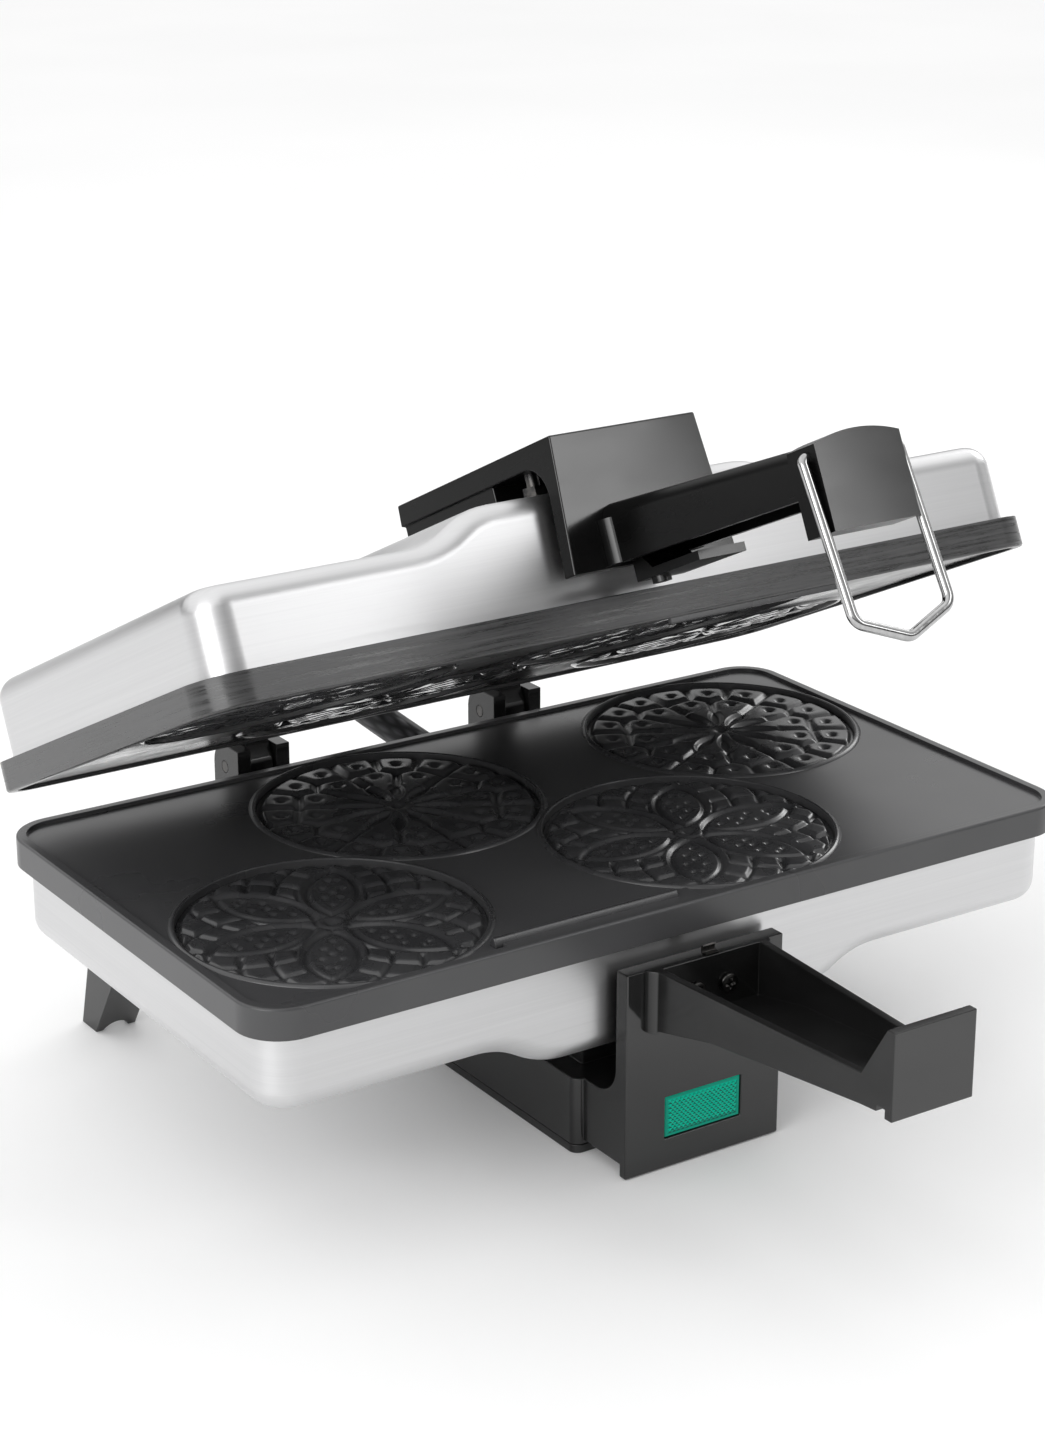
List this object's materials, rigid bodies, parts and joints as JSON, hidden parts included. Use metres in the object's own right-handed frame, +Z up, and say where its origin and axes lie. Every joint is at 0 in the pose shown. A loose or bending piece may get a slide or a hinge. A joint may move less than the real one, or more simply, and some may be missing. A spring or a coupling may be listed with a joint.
{
  "type": "wafer cookie iron",
  "caption": "Electric wafer-cookie iron: hinged steel halves with engraved round moulds, black handles, wire latch, indicator lamp and raked rear legs.",
  "frame": {"origin": "on the table, under the middle of the plates, on the wiring housing's bottom cover", "axes": "+Z up, +Y back to the hinges, +X to the right seen from the handles"},
  "size_m": [0.288, 0.2971, 0.2335],
  "materials": {
    "shell_steel": "fine brushed",
    "coated_plate": "dark non-stick coating on a casting",
    "element_sheath": "heat-darkened",
    "sheet_aluminium": "mill",
    "fastener_steel": "plated",
    "latch_wire": "polished",
    "green_lens": "clear tinted",
    "lamp_glass": "clear",
    "pale_insulator": "satin",
    "black_rubber": "matte",
    "lead_sleeve": "fine braid",
    "black_moulding": "satin gloss"
  },
  "bodies": {
    "base": {"base_shell": "shell_steel", "cord_gland": "black_rubber", "hinge_pin_left": "fastener_steel", "hinge_pin_right": "fastener_steel", "hinge_tower_left": "black_moulding", "hinge_tower_right": "black_moulding", "indicator_lens": "green_lens", "jumper_lead": "lead_sleeve", "lamp_retainer": "pale_insulator", "lower_element": "element_sheath", "lower_element_clips": "sheet_aluminium", "lower_handle": "black_moulding", "lower_handle_screws": "fastener_steel", "lower_hinge_screws": "fastener_steel", "lower_housing": "black_moulding", "lower_housing_cover": "black_moulding", "lower_lead_bush": "black_rubber", "lower_plate": "coated_plate", "lower_plate_screws": "fastener_steel", "lower_reflector": "sheet_aluminium", "neon_lamp": "lamp_glass", "rear_leg_left": "black_moulding", "rear_leg_right": "black_moulding", "terminal_block": "pale_insulator", "thermostat": "pale_insulator"},
    "lid": {"lid_shell": "shell_steel", "upper_plate": "coated_plate", "upper_element": "element_sheath", "upper_element_clips": "sheet_aluminium", "upper_reflector": "sheet_aluminium", "upper_plate_screws": "fastener_steel", "upper_hinge_screws": "fastener_steel", "upper_housing": "black_moulding", "upper_handle": "black_moulding", "upper_handle_screws": "fastener_steel", "hinge_tongue_left": "black_moulding", "hinge_tongue_right": "black_moulding", "upper_lead_bush": "black_rubber"},
    "latch": {"latch_bail": "latch_wire"}
  },
  "joints": [
    {"name": "lid_hinge", "type": "hinge", "parent": "base", "child": "lid", "pos_m": [0, 0.097, 0.078], "axis": [-1, 0, 0], "range_deg": [-25.8, 74.2], "deforming": ["jumper_lead"]},
    {"name": "bail_pivot", "type": "hinge", "parent": "lid", "child": "latch", "pos_m": [0, -0.14132, 0.22697], "axis": [-1, 0, 0], "range_deg": [0, 110]}
  ]
}
